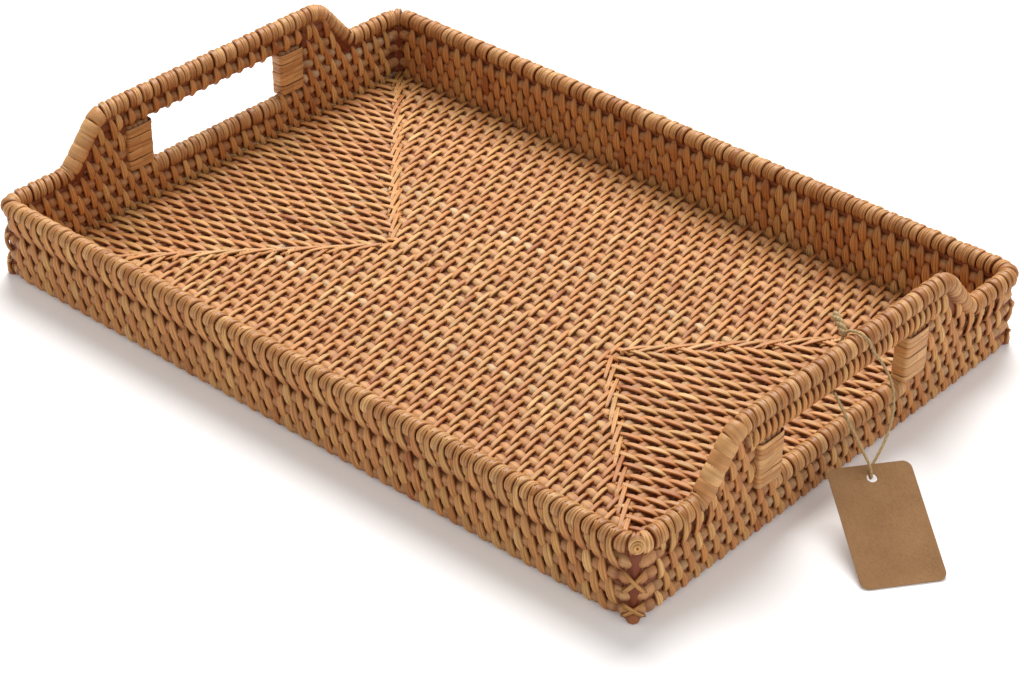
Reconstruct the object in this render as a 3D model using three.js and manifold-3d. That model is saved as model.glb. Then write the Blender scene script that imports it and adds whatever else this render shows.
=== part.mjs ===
// A woven rattan serving tray with two raised hand bars and a paper tag on a loop of twine.
// Millimetres, +Z up. The origin is at the middle of the underside, and +X runs along the tray.
import * as THREE from 'three'
import * as BufferGeometryUtils from 'three/addons/utils/BufferGeometryUtils.js'
import Module from 'manifold-3d'

const wasm = await Module()
wasm.setup()

// The tray, measured along the middle line of its rim.
const halfLength = 195
const halfWidth = 136.6
const cornerRadius = 13
const meetingGap = 0.3

// The wall: four rows of rod below the rim pole.
const rodRadius = 3.8
const rowPitch = 8.3
const wallInset = 1
const rimRadius = 4.7
const rimHeight = 37.8
const wrapPitch = 8.2
const wrapDepth = 0.5

// The floor: nested hoops of rod, closer together on the ends than on the long sides.
const hoopCount = 16
const hoopPitchX = 7.6
const hoopPitchY = 8.2
const hoopHalfThick = 3.3
const hoopHeight = 3.2
const hoopHalfHigh = 2.9

// The hand bars at both ends, and the openings under them.
const barHeight = 62.8
const barHalfLength = 75.9
const footHalfSpan = 97.3
const bendTrim = 7
const underRodRadius = 4.4
const underRodHalfLength = 69
const underRodHeight = barHeight - rimRadius - underRodRadius - meetingGap
const postNear = 44.3
const postFar = 61.3
const postThick = 9
const sillRadius = 4.7
const sillHeight = 20.9
const panelRodRadius = 3.7

// The tag: its top edge's middle, its turn about the vertical and its slope.
const tag = { width: 37, height: 58, thick: 0.6, corner: 4, holeRadius: 2.3, holeDrop: 6.5 }
const tagTop = new THREE.Vector3(219.2, -11.7, 22.4)
const tagTurn = THREE.MathUtils.degToRad(53.6)
const tagSlope = THREE.MathUtils.degToRad(22.2)
const twineRadius = 0.65

const group = new THREE.Group()

const colours = {
  rod: 0xd9ac72,
  wrap: 0xc79a62,
  cane: 0xd8b47e,
  card: 0x9c7a50,
  twine: 0xa28c66,
}

function finish(colour, roughness) {
  return new THREE.MeshStandardMaterial({ color: colour, roughness, metalness: 0 })
}

const rodFinish = finish(colours.rod, 0.55)
const wrapFinish = finish(colours.wrap, 0.5)
const caneFinish = finish(colours.cane, 0.42)
const cardFinish = finish(colours.card, 0.85)
const twineFinish = finish(colours.twine, 0.9)

function add(name, geometry, material) {
  const mesh = new THREE.Mesh(geometry, material)
  mesh.name = name
  group.add(mesh)
  return mesh
}

function toSolid(geometry) {
  const bare = geometry.clone()
  bare.deleteAttribute('normal')
  bare.deleteAttribute('uv')
  const merged = BufferGeometryUtils.mergeVertices(bare, 1e-4)
  const vertProperties = new Float32Array(merged.attributes.position.array)
  const triVerts = new Uint32Array(merged.index.array)
  return new wasm.Manifold(new wasm.Mesh({ numProp: 3, vertProperties, triVerts }))
}

function toGeometry(solid) {
  const mesh = solid.getMesh()
  const geometry = new THREE.BufferGeometry()
  geometry.setAttribute('position', new THREE.BufferAttribute(mesh.vertProperties, 3))
  geometry.setIndex(new THREE.BufferAttribute(mesh.triVerts, 1))
  geometry.computeVertexNormals()
  return geometry
}

function join(geometries) {
  const solids = geometries.map(toSolid)
  return toGeometry(solids.reduce((whole, piece) => whole.add(piece)))
}

// Rods have eight flats, turned so that one is underneath, and radius is the distance to a flat.
const rodSides = 8
const halfStep = Math.PI / rodSides
const toCorner = 1 / Math.cos(halfStep)

// A straight rod given by its two ends.
function rod(start, end, radius) {
  const along = new THREE.Vector3().subVectors(end, start)
  const corner = radius * toCorner
  const geometry = new THREE.CylinderGeometry(corner, corner, along.length(), rodSides)
  geometry.rotateY(halfStep)
  const turn = new THREE.Quaternion()
  turn.setFromUnitVectors(new THREE.Vector3(0, 1, 0), along.clone().normalize())
  geometry.applyQuaternion(turn)
  geometry.translate(...new THREE.Vector3().addVectors(start, end).multiplyScalar(0.5).toArray())
  return geometry
}

// A tube along a path, with a round section.
function tube(path, radius, steps, sides = 8) {
  const section = new THREE.Shape()
  for (let i = 0; i < sides; i++) {
    const angle = (2 * Math.PI * i) / sides
    const x = radius * Math.cos(angle)
    const y = radius * Math.sin(angle)
    if (i === 0) section.moveTo(x, y)
    else section.lineTo(x, y)
  }
  return new THREE.ExtrudeGeometry(section, { steps, extrudePath: path, bevelEnabled: false })
}

// A path of straight runs whose corners are eased by short curves.
function easedPath(points, trims) {
  const path = new THREE.CurvePath()
  let from = points[0]
  for (let i = 1; i < points.length - 1; i++) {
    const corner = points[i]
    const trim = trims[i - 1]
    const before = new THREE.Vector3().subVectors(points[i - 1], corner).setLength(trim).add(corner)
    const after = new THREE.Vector3().subVectors(points[i + 1], corner).setLength(trim).add(corner)
    path.add(new THREE.LineCurve3(from, before))
    path.add(new THREE.QuadraticBezierCurve3(before, corner, after))
    from = after
  }
  path.add(new THREE.LineCurve3(from, points[points.length - 1]))
  return path
}

function roundedOutline(shape, halfX, halfY, radius) {
  shape.moveTo(-halfX + radius, -halfY)
  shape.lineTo(halfX - radius, -halfY)
  shape.absarc(halfX - radius, -halfY + radius, radius, -Math.PI / 2, 0)
  shape.lineTo(halfX, halfY - radius)
  shape.absarc(halfX - radius, halfY - radius, radius, 0, Math.PI / 2)
  shape.lineTo(-halfX + radius, halfY)
  shape.absarc(-halfX + radius, halfY - radius, radius, Math.PI / 2, Math.PI)
  shape.lineTo(-halfX, -halfY + radius)
  shape.absarc(-halfX + radius, -halfY + radius, radius, Math.PI, 1.5 * Math.PI)
  return shape
}

// One hoop of floor rod: a rounded rectangular ring with chamfered edges.
function floorHoop(halfX, halfY) {
  const bevel = hoopHalfHigh * 0.6
  const insetThick = hoopHalfThick - bevel
  const ease = Math.min(6, halfY)
  const shape = roundedOutline(new THREE.Shape(), halfX + insetThick, halfY + insetThick, ease)
  const hole = new THREE.Path()
  const holeEase = Math.min(ease, halfY - insetThick) * 0.6
  roundedOutline(hole, halfX - insetThick, halfY - insetThick, holeEase)
  shape.holes.push(hole)
  const geometry = new THREE.ExtrudeGeometry(shape, {
    depth: 2 * (hoopHalfHigh - bevel),
    bevelThickness: bevel,
    bevelSize: bevel,
    bevelSegments: 1,
    curveSegments: 1,
  })
  geometry.translate(0, 0, hoopHeight - hoopHalfHigh + bevel)
  return geometry
}

function addFloor() {
  for (let i = 1; i <= hoopCount; i++) {
    const halfX = halfLength - wallInset - hoopPitchX * i
    const halfY = halfWidth - wallInset - hoopPitchY * i
    add(`floor_hoop_${String(i).padStart(2, '0')}`, floorHoop(halfX, halfY), rodFinish)
  }
}

const wallX = halfLength - wallInset
const wallY = halfWidth - wallInset
const straightX = halfLength - cornerRadius
const straightY = halfWidth - cornerRadius

function rowHeight(row) {
  return rodRadius + rowPitch * (row - 1)
}

function addWalls() {
  const reachX = straightX - meetingGap / 2
  const reachY = straightY - meetingGap / 2
  for (let row = 1; row <= 4; row++) {
    const z = rowHeight(row)
    for (const [side, y] of [['front', -wallY], ['back', wallY]]) {
      const start = new THREE.Vector3(-reachX, y, z)
      const end = new THREE.Vector3(reachX, y, z)
      add(`${side}_rod_${row}`, rod(start, end, rodRadius), rodFinish)
    }
    for (const [side, x] of [['left', -wallX], ['right', wallX]]) {
      if (row < 3) {
        const start = new THREE.Vector3(x, -reachY, z)
        const end = new THREE.Vector3(x, reachY, z)
        add(`${side}_rod_${row}`, rod(start, end, rodRadius), rodFinish)
      }
      if (row === 3) add(`${side}_sill`, sill(x, reachY), wrapFinish)
      if (row === 4) {
        for (const [end, way] of [['front', -1], ['back', 1]]) {
          const start = new THREE.Vector3(x, way * (postFar + meetingGap), z)
          const finishPoint = new THREE.Vector3(x, way * reachY, z)
          add(`${side}_rod_4_${end}`, rod(start, finishPoint, rodRadius), rodFinish)
        }
      }
    }
  }
}

// The third row of an end wall: thicker, and wrapped like the rim, between the two posts.
function sill(x, reachY) {
  const thin = rodRadius - 0.05
  const profile = [new THREE.Vector2(0, -reachY), new THREE.Vector2(thin, -reachY)]
  profile.push(new THREE.Vector2(thin, -postFar + 1))
  profile.push(new THREE.Vector2(sillRadius, -postFar + 1.6))
  const wraps = Math.round((2 * postNear) / wrapPitch)
  for (let i = 0; i <= wraps; i++) {
    const y = -postNear + (2 * postNear * i) / wraps
    profile.push(new THREE.Vector2(sillRadius, y - 1.5))
    profile.push(new THREE.Vector2(sillRadius - wrapDepth, y + 1.5))
  }
  profile.push(new THREE.Vector2(sillRadius, postFar - 1.6))
  profile.push(new THREE.Vector2(thin, postFar - 1))
  profile.push(new THREE.Vector2(thin, reachY), new THREE.Vector2(0, reachY))
  const geometry = new THREE.LatheGeometry(profile, rodSides, halfStep)
  geometry.scale(toCorner, 1, toCorner)
  return geometry.translate(x, 0, sillHeight)
}

// The four rows turn each corner together, backed by the strands that cross over them.
function cornerBend(signX, signY) {
  const bends = []
  const bendRadius = cornerRadius - wallInset
  const sweep = Math.PI / 2
  const profile = []
  const corner = rodRadius * toCorner
  for (let i = 0; i <= rodSides; i++) {
    const angle = halfStep * (2 * i + 1)
    const r = bendRadius + corner * Math.cos(angle)
    profile.push(new THREE.Vector2(r, corner * Math.sin(angle)))
  }
  for (let row = 1; row <= 4; row++) {
    const ring = new THREE.LatheGeometry(profile, 4 * 4)
    ring.rotateX(Math.PI / 2)
    ring.translate(0, 0, rowHeight(row))
    bends.push(ring)
  }
  const backing = new THREE.Shape()
  backing.absarc(0, 0, bendRadius + 2, 0, 2 * Math.PI)
  const inner = new THREE.Path()
  inner.absarc(0, 0, bendRadius - 2, 0, 2 * Math.PI)
  backing.holes.push(inner)
  const height = rowHeight(4)
  const shell = new THREE.ExtrudeGeometry(backing, {
    depth: height - rodRadius,
    curveSegments: 8,
    bevelEnabled: false,
  })
  shell.translate(0, 0, rodRadius)
  bends.push(shell)
  let whole = bends.map(toSolid).reduce((sum, piece) => sum.add(piece))
  const reach = bendRadius + rodRadius + 1
  const quarter = new THREE.BoxGeometry(reach, reach, height * 3)
  const offset = reach / 2 + meetingGap / 2
  quarter.translate(offset, offset, height)
  whole = whole.intersect(toSolid(quarter))
  const geometry = toGeometry(whole)
  const turn = Math.atan2(signY, signX) - sweep / 2
  geometry.rotateZ(turn)
  geometry.translate(signX * straightX, signY * straightY, 0)
  return geometry
}

function addCorners() {
  add('corner_front_left', cornerBend(-1, -1), rodFinish)
  add('corner_front_right', cornerBend(1, -1), rodFinish)
  add('corner_back_left', cornerBend(-1, 1), rodFinish)
  add('corner_back_right', cornerBend(1, 1), rodFinish)
}

// The long sides of the rim pole, ridged by the strands wound round it.
function addRimSides() {
  const reach = straightX - 2 * meetingGap
  const wraps = Math.round((2 * reach) / wrapPitch)
  const pitch = (2 * reach) / wraps
  const profile = [new THREE.Vector2(0, -reach), new THREE.Vector2(rimRadius, -reach)]
  for (let i = 0; i < wraps; i++) {
    const x = -reach + pitch * i
    profile.push(new THREE.Vector2(rimRadius, x + pitch * 0.6))
    profile.push(new THREE.Vector2(rimRadius - wrapDepth, x + pitch * 0.8))
  }
  profile.push(new THREE.Vector2(rimRadius, reach), new THREE.Vector2(0, reach))
  for (const [side, way] of [['front', -1], ['back', 1]]) {
    const geometry = new THREE.LatheGeometry(profile, rodSides, halfStep)
    geometry.scale(toCorner, 1, toCorner)
    geometry.rotateZ(-Math.PI / 2)
    geometry.translate(0, way * halfWidth, rimHeight)
    add(`rim_${side}`, geometry, wrapFinish)
  }
}

// One end of the rim: round both corners, up the slopes and along the hand bar.
function endRail(side) {
  const x = side * halfLength
  const start = side * straightX
  const points = [
    new THREE.Vector3(start, -halfWidth, rimHeight),
    new THREE.Vector3(x, -halfWidth, rimHeight),
    new THREE.Vector3(x, -footHalfSpan, rimHeight),
    new THREE.Vector3(x, -barHalfLength, barHeight),
    new THREE.Vector3(x, barHalfLength, barHeight),
    new THREE.Vector3(x, footHalfSpan, rimHeight),
    new THREE.Vector3(x, halfWidth, rimHeight),
    new THREE.Vector3(start, halfWidth, rimHeight),
  ]
  const trims = [cornerRadius - 0.01, bendTrim, bendTrim, bendTrim, bendTrim, cornerRadius - 0.01]
  return tube(easedPath(points, trims), rimRadius, 76, rodSides)
}

// A post is wound with ten narrow strips, from the sill up to the second rod.
function post(side, way) {
  const strips = 10
  const bottom = sillHeight + sillRadius + meetingGap
  const top = underRodHeight - underRodRadius - meetingGap
  const pitch = (top - bottom) / strips
  const profile = [new THREE.Vector2(0, bottom)]
  for (let i = 0; i < strips; i++) {
    const z = bottom + pitch * i
    profile.push(new THREE.Vector2(0.94, z))
    profile.push(new THREE.Vector2(1, z + pitch * 0.2))
    profile.push(new THREE.Vector2(1, z + pitch * 0.8))
  }
  profile.push(new THREE.Vector2(0.94, top), new THREE.Vector2(0, top))
  const geometry = new THREE.LatheGeometry(profile, 10)
  geometry.rotateX(Math.PI / 2)
  geometry.scale(postThick / 2, (postFar - postNear) / 2, 1)
  const y = (way * (postNear + postFar)) / 2
  return geometry.translate(side * halfLength, y, 0)
}

// Two short rods beside the post, bound to each other, that end under the slope.
function panel(side, way) {
  const x = side * (halfLength - wallInset)
  const near = postFar + meetingGap
  const lowZ = rowHeight(4) + rodRadius + panelRodRadius + meetingGap
  const highZ = lowZ + rowPitch - meetingGap
  const lowFar = footHalfSpan - 11
  const highFar = footHalfSpan - 17.5
  const pieces = []
  for (const [z, far] of [[lowZ, lowFar], [highZ, highFar]]) {
    const start = new THREE.Vector3(x, way * near, z)
    const end = new THREE.Vector3(x, way * far, z)
    pieces.push(rod(start, end, panelRodRadius))
  }
  const web = new THREE.BoxGeometry(2.4, highFar - near - 1, highZ - lowZ)
  web.translate(x, (way * (highFar + near)) / 2, (highZ + lowZ) / 2)
  pieces.push(web)
  return join(pieces)
}

function addHandles() {
  for (const [name, side] of [['left', -1], ['right', 1]]) {
    add(`${name}_hand_rail`, endRail(side), wrapFinish)
    const start = new THREE.Vector3(side * halfLength, -underRodHalfLength, underRodHeight)
    const end = new THREE.Vector3(side * halfLength, underRodHalfLength, underRodHeight)
    add(`${name}_under_rod`, rod(start, end, underRodRadius), rodFinish)
    for (const [place, way] of [['front', -1], ['back', 1]]) {
      add(`${name}_post_${place}`, post(side, way), caneFinish)
      add(`${name}_panel_${place}`, panel(side, way), rodFinish)
    }
  }
}

function addTag() {
  const outline = new THREE.Shape()
  roundedOutline(outline, tag.width / 2, tag.height / 2, tag.corner)
  const hole = new THREE.Path()
  hole.absarc(0, tag.height / 2 - tag.holeDrop, tag.holeRadius, 0, 2 * Math.PI)
  outline.holes.push(hole)
  const geometry = new THREE.ExtrudeGeometry(outline, {
    depth: tag.thick,
    curveSegments: 8,
    bevelEnabled: false,
  })
  geometry.translate(0, -tag.height / 2, -tag.thick / 2)
  const turned = new THREE.Group()
  turned.position.copy(tagTop)
  turned.rotation.z = tagTurn
  const mesh = add('tag', geometry, cardFinish)
  mesh.rotation.x = tagSlope
  turned.add(mesh)
  group.add(turned)
}

// The hanging twine goes from the hand-hole, through the tag and up to the outside of the hand bar.
const hangingRoute = [
  [198.9, -11, 49.7],
  [204.6, -11.7, 43.3],
  [210.6, -12.4, 36.4],
  [216.6, -13.1, 29.6],
  [221.2, -13.7, 24.5],
  [223.3, -14.6, 20.6],
  [222.3, -13.6, 18.2],
  [219.2, -9.9, 18.6],
  [218.2, -3.8, 21.5],
  [216.9, 3.6, 25.6],
  [215, 10, 31],
  [211.8, 15.6, 38.6],
  [208.2, 17.1, 46.2],
  [204, 15.6, 53.8],
  [200.5, 12.5, 60.3],
]

// The rest of the loop goes over the hand bar to a knot, and down its inside into the hand-hole.
const loopRoute = [
  [200.5, 12.1, 61.2],
  [200.1, 10.6, 65.1],
  [197.4, 8.9, 68.1],
  [193.6, 8.2, 68.6],
  [190, 8.4, 66.7],
  [188.5, 7.6, 63],
  [188.3, 4.6, 58.7],
  [188.3, 0.4, 54.4],
  [188.9, -4.6, 50.6],
  [191.4, -8.6, 48],
  [195, -10.4, 47.5],
  [198.2, -11, 49.1],
]

function toPoints(route) {
  return route.map((place) => new THREE.Vector3(...place))
}

// The knot sits inside the hand bar, with a thick frayed tail.
function knotPieces() {
  const knot = new THREE.SphereGeometry(1.7, 10, 8)
  knot.translate(188.3, 8.6, 65)
  const tail = rod(new THREE.Vector3(188.3, 8.6, 65), new THREE.Vector3(179.6, 12.4, 70.2), 1.3)
  return [knot, tail]
}

function addTwine() {
  const hanging = new THREE.CatmullRomCurve3(toPoints(hangingRoute))
  add('twine_hanging', tube(hanging, twineRadius, 44), twineFinish)
  const loop = new THREE.CatmullRomCurve3(toPoints(loopRoute))
  add('twine_loop', join([tube(loop, twineRadius, 24), ...knotPieces()]), twineFinish)
}

addFloor()
addWalls()
addCorners()
addRimSides()
addHandles()
addTag()
addTwine()

export default group
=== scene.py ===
import math
import bpy
import numpy as np
from mathutils import Euler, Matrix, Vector


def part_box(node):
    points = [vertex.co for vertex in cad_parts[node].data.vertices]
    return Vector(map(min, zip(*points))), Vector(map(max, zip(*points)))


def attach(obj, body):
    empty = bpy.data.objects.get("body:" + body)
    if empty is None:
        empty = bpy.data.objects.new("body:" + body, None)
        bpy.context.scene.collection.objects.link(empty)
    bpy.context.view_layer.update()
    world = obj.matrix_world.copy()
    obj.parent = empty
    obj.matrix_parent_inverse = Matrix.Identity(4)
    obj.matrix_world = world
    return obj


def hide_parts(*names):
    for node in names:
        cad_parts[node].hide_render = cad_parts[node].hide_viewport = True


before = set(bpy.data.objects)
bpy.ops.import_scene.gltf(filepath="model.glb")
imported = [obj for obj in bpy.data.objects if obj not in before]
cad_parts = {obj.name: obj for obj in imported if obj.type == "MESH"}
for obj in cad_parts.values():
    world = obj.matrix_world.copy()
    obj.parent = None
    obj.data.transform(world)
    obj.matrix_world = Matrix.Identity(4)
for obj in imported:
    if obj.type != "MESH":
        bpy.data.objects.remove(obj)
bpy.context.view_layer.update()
chance = np.random.default_rng(41)
print("frame loaded")


def addObject(name, data):
    made = bpy.data.objects.new(name, data)
    bpy.context.scene.collection.objects.link(made)
    return made


def addMaterial(name):
    material = bpy.data.materials.new(name)
    material.use_nodes = True
    tree = material.node_tree
    return material, tree, tree.nodes["Principled BSDF"]


# Camera

camera = {
    "place": (0.68196, -0.76954, 0.67042), "turn": (56.386, 0.239, 42.742), "lens": 90.5,
    "sensor": 36, "shift": (0.0637, -0.0095), "near": 0.01,
}


def makeCamera():
    data = bpy.data.cameras.new("camera")
    data.lens = camera["lens"]
    data.sensor_width = camera["sensor"]
    data.shift_x, data.shift_y = camera["shift"]
    data.clip_start = camera["near"]
    eye = addObject("camera", data)
    eye.location = camera["place"]
    eye.rotation_euler = Euler([math.radians(a) for a in camera["turn"]])
    bpy.context.scene.camera = eye


makeCamera()


# Twine

twine = {
    "radius": 0.00065,
    "hanging": [
        (0.1989, -0.0110, 0.0497), (0.2046, -0.0117, 0.0433), (0.2106, -0.0124, 0.0364),
        (0.2166, -0.0131, 0.0296), (0.2212, -0.0137, 0.0245), (0.2233, -0.0146, 0.0206),
        (0.2223, -0.0136, 0.0182), (0.2192, -0.0099, 0.0186), (0.2182, -0.0038, 0.0215),
        (0.2169, 0.0036, 0.0256), (0.2150, 0.0100, 0.0310), (0.2118, 0.0156, 0.0386),
        (0.2082, 0.0171, 0.0462), (0.2040, 0.0156, 0.0538), (0.2005, 0.0125, 0.0603),
    ],
    "loop": [
        (0.2005, 0.0121, 0.0612), (0.2001, 0.0106, 0.0651), (0.1974, 0.0089, 0.0681),
        (0.1936, 0.0082, 0.0686), (0.1900, 0.0084, 0.0667), (0.1885, 0.0076, 0.0630),
        (0.1883, 0.0046, 0.0587), (0.1883, 0.0004, 0.0544), (0.1889, -0.0046, 0.0506),
        (0.1914, -0.0086, 0.0480), (0.1950, -0.0104, 0.0475), (0.1982, -0.0110, 0.0491),
    ],
    "steps": 12, "ring": 0.0004, "plies": 3, "lay": 5.2, "plyOut": 0.5, "plyRadius": 0.62,
}


def smoothRoute(points, steps):
    p = np.array(points, float)
    p = np.vstack([2 * p[0] - p[1], p, 2 * p[-1] - p[-2]])
    out = []
    for i in range(1, len(p) - 2):
        for t in np.arange(steps) / steps:
            a, b, c, d = p[i - 1], p[i], p[i + 1], p[i + 2]
            bend = (2 * a - 5 * b + 4 * c - d) * t ** 2
            twist = (3 * b - a - 3 * c + d) * t ** 3
            out.append(0.5 * (2 * b + (c - a) * t + bend + twist))
    out.append(p[-2])
    return np.array(out)


# Woven strands are swept sections, gathered into one mesh for each piece.
# In a section the first number is across the strand and the second is out of it.

sections = {
    "round": [(math.cos(a), math.sin(a)) for a in np.linspace(0, 2 * math.pi, 9)[:-1]],
    "ribbed": [
        (1, -0.5), (0.95, 0.2), (0.74, 0.72), (0.5, 0.72), (0.36, 0.25), (0.2, 0.9), (-0.16, 1),
        (-0.34, 0.3), (-0.5, 0.76), (-0.72, 0.7), (-0.95, 0.2), (-1, -0.5), (-0.6, -0.8),
        (0.6, -0.8),
    ],
    "paired": [
        (1, -0.1), (0.82, 0.66), (0.42, 1), (0, 0.3), (-0.42, 1), (-0.82, 0.66), (-1, -0.1),
        (-0.6, -0.8), (0.6, -0.8),
    ],
    "flat": [
        (1, 0), (0.86, 0.75), (0.4, 1), (-0.4, 1), (-0.86, 0.75), (-1, 0),
        (-0.7, -0.8), (0.7, -0.8),
    ],
}


# Painted shade on the lower part of a section and in the grooves of its top: where it begins, how
# fast and how far.
undersideShade = {"round": (0.3, 1.0, 0.5), "other": (0.6, 1.5, 0.75)}
lowest = 0.0003
toneMiddle, toneSpread = 0.56, 0.2


up = np.array([0, 0, 1.0])


def unit(v):
    return v / np.maximum(np.linalg.norm(v, axis=-1, keepdims=True), 1e-12)


def toneDraw():
    return float(np.clip(chance.normal(toneMiddle, toneSpread), 0, 1))


class Weave:
    def __init__(self, name):
        self.name = name
        self.verts = []
        self.loops = []
        self.sizes = []
        self.uvs = []
        self.marks = []
        self.count = 0

    def add(self, points, ups, wide, thick, section="paired", shadeDepth=0, closed=False, tone=None):
        points = np.asarray(points, float)
        n = len(points)
        shape = np.array(sections[section])
        m = len(shape)
        if closed:
            tangent = unit(np.roll(points, -1, 0) - np.roll(points, 1, 0))
        else:
            tangent = unit(np.gradient(points, axis=0))
        ups = np.broadcast_to(np.asarray(ups, float), points.shape)
        side = unit(np.cross(tangent, ups))
        ups = np.cross(side, tangent)
        wide = np.broadcast_to(wide, (n,))[:, None, None]
        thick = np.broadcast_to(thick, (n,))[:, None, None]
        across = side[:, None, :] * shape[None, :, :1] * wide
        raised = ups[:, None, :] * shape[None, :, 1:] * thick
        verts = points[:, None, :] + across + raised
        verts[:, :, 2] = np.maximum(verts[:, :, 2], lowest)
        start = self.count
        self.verts.append(verts.reshape(-1, 3))
        self.count += n * m
        rings = n if closed else n - 1
        i, j = np.meshgrid(np.arange(rings), np.arange(m), indexing="ij")
        a = start + i * m + j
        b = start + i * m + (j + 1) % m
        c = start + (i + 1) % n * m + (j + 1) % m
        d = start + (i + 1) % n * m + j
        self.loops.append(np.stack([a, d, c, b], -1).reshape(-1))
        self.sizes.append(np.full(rings * m, 4))
        gaps = np.linalg.norm(np.diff(points, axis=0, append=points[:1]), axis=1)
        length = np.concatenate([[0], np.cumsum(gaps)]) + chance.random() * 3
        around = np.abs(shape[:, 0]).max() * 2 * float(wide.mean()) * np.arange(m + 1) / m
        u = np.stack([length[i], length[i + 1], length[i + 1], length[i]], -1)
        v = np.stack([around[j], around[j], around[j + 1], around[j + 1]], -1)
        self.uvs.append(np.stack([u, v], -1).reshape(-1, 2))
        if not closed:
            ends = np.concatenate([start + np.arange(m), start + (n - 1) * m + np.arange(m)[::-1]])
            self.loops.append(ends)
            self.sizes.append(np.array([m, m]))
            self.uvs.append(np.zeros((2 * m, 2)) + length[0])
        tone = toneDraw() if tone is None else tone
        # The mark holds tone, a hue seed and painted shade: the given shadeDepth plus painted shade
        # under the section and in its grooves.
        mark = np.zeros((n, m, 4))
        mark[:, :, 0] = tone
        mark[:, :, 1] = chance.random()
        begins, fast, far = undersideShade["round" if section == "round" else "other"]
        low = np.clip((begins - shape[:, 1]) * fast, 0, 1) * far
        mark[:, :, 2] = np.clip(np.broadcast_to(shadeDepth, (n,))[:, None] + low[None, :], 0, 1)
        mark[:, :, 3] = 1
        self.marks.append(mark.reshape(-1, 4))

    def addRod(self, points, radius, shadeDepth, ups=up, **more):
        self.add(points, ups, radius, radius, "round", shadeDepth, **more)

    def build(self, material, slotName, replaced=(), body="tray"):
        mesh = bpy.data.meshes.new(self.name)
        verts = np.concatenate(self.verts)
        loops = np.concatenate(self.loops)
        sizes = np.concatenate(self.sizes)
        mesh.vertices.add(len(verts))
        mesh.vertices.foreach_set("co", verts.ravel())
        mesh.loops.add(len(loops))
        mesh.loops.foreach_set("vertex_index", loops)
        mesh.polygons.add(len(sizes))
        mesh.polygons.foreach_set("loop_start", np.concatenate([[0], np.cumsum(sizes)[:-1]]))
        mesh.update(calc_edges=True)
        mesh.uv_layers.new(name="grain").data.foreach_set("uv", np.concatenate(self.uvs).ravel())
        mark = mesh.attributes.new("mark", "FLOAT_COLOR", "POINT")
        mark.data.foreach_set("color", np.concatenate(self.marks).ravel())
        mesh.shade_smooth()
        mesh.materials.append(material)
        piece = addObject(self.name, mesh)
        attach(piece, body)
        if replaced:
            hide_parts(*replaced)
        return piece


# Node helpers

def newGroup(name, inputs, outputs):
    group = bpy.data.node_groups.new(name, "ShaderNodeTree")
    for label, kind, value in inputs:
        socket = group.interface.new_socket(label, in_out="INPUT", socket_type=kind)
        if value is not None:
            socket.default_value = value
    for label, kind in outputs:
        group.interface.new_socket(label, in_out="OUTPUT", socket_type=kind)
    return group, group.nodes.new("NodeGroupInput"), group.nodes.new("NodeGroupOutput")


def feed(tree, made, links):
    for key, value in links.items():
        if isinstance(value, bpy.types.NodeSocket):
            tree.links.new(value, made.inputs[key])
        else:
            made.inputs[key].default_value = value
    return made


def node(tree, kind, links=None, **settings):
    made = tree.nodes.new(kind)
    for key, value in settings.items():
        setattr(made, key, value)
    return feed(tree, made, links or {})


def math2(tree, operation, a, b=0.0, c=0.0, clamp=False):
    made = node(tree, "ShaderNodeMath", {0: a, 1: b, 2: c}, operation=operation)
    made.use_clamp = clamp
    return made.outputs[0]


def blendColours(tree, share, a, b, mode="MIX"):
    made = node(tree, "ShaderNodeMix", data_type="RGBA", blend_type=mode)
    return feed(tree, made, {0: share, 6: a, 7: b}).outputs[2]


def ramp(tree, value, stops):
    made = tree.nodes.new("ShaderNodeValToRGB")
    points = made.color_ramp.elements
    while len(points) < len(stops):
        points.new(0.5)
    for point, (place, *colour) in zip(points, stops):
        point.position = place
        point.color = (*srgb(*colour), 1)
    tree.links.new(value, made.inputs[0])
    return made.outputs[0]


def srgb(r, g, b):
    def linear(c):
        c = c / 255
        return c / 12.92 if c <= 0.04045 else ((c + 0.055) / 1.055) ** 2.4
    return linear(r), linear(g), linear(b)


fibre = {"across": 1700.0, "along": 45.0, "seed": 37.0, "blotchAlong": 70.0, "blotchAcross": 260.0}


# Fibres that run along a strand, as a mask and as a height.
def fibreGroup():
    inputs = [
        ("Along", "NodeSocketVector", None),
        ("Across Scale", "NodeSocketFloat", fibre["across"]),
        ("Along Scale", "NodeSocketFloat", fibre["along"]),
        ("Seed", "NodeSocketFloat", 0.0),
    ]
    outputs = [("Fibre", "NodeSocketFloat"), ("Blotch", "NodeSocketFloat")]
    group, source, sink = newGroup("rattan fibre", inputs, outputs)
    parts = node(group, "ShaderNodeSeparateXYZ", {0: source.outputs["Along"]})
    x = math2(group, "MULTIPLY", parts.outputs[0], source.outputs["Along Scale"])
    y = math2(group, "MULTIPLY", parts.outputs[1], source.outputs["Across Scale"])
    z = math2(group, "MULTIPLY", source.outputs["Seed"], fibre["seed"])
    place = node(group, "ShaderNodeCombineXYZ", {0: x, 1: y, 2: z})
    fine = node(group, "ShaderNodeTexNoise", {
        "Vector": place.outputs[0], "Scale": 1.0, "Detail": 4.0, "Roughness": 0.6,
    })
    x2 = math2(group, "MULTIPLY", parts.outputs[0], fibre["blotchAlong"])
    y2 = math2(group, "MULTIPLY", parts.outputs[1], fibre["blotchAcross"])
    place2 = node(group, "ShaderNodeCombineXYZ", {0: x2, 1: y2, 2: z})
    blotch = node(group, "ShaderNodeTexNoise", {
        "Vector": place2.outputs[0], "Scale": 1.0, "Detail": 3.0, "Roughness": 0.55,
    })
    feed(group, sink, {"Fibre": fine.outputs[0], "Blotch": blotch.outputs[0]})
    return group
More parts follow.
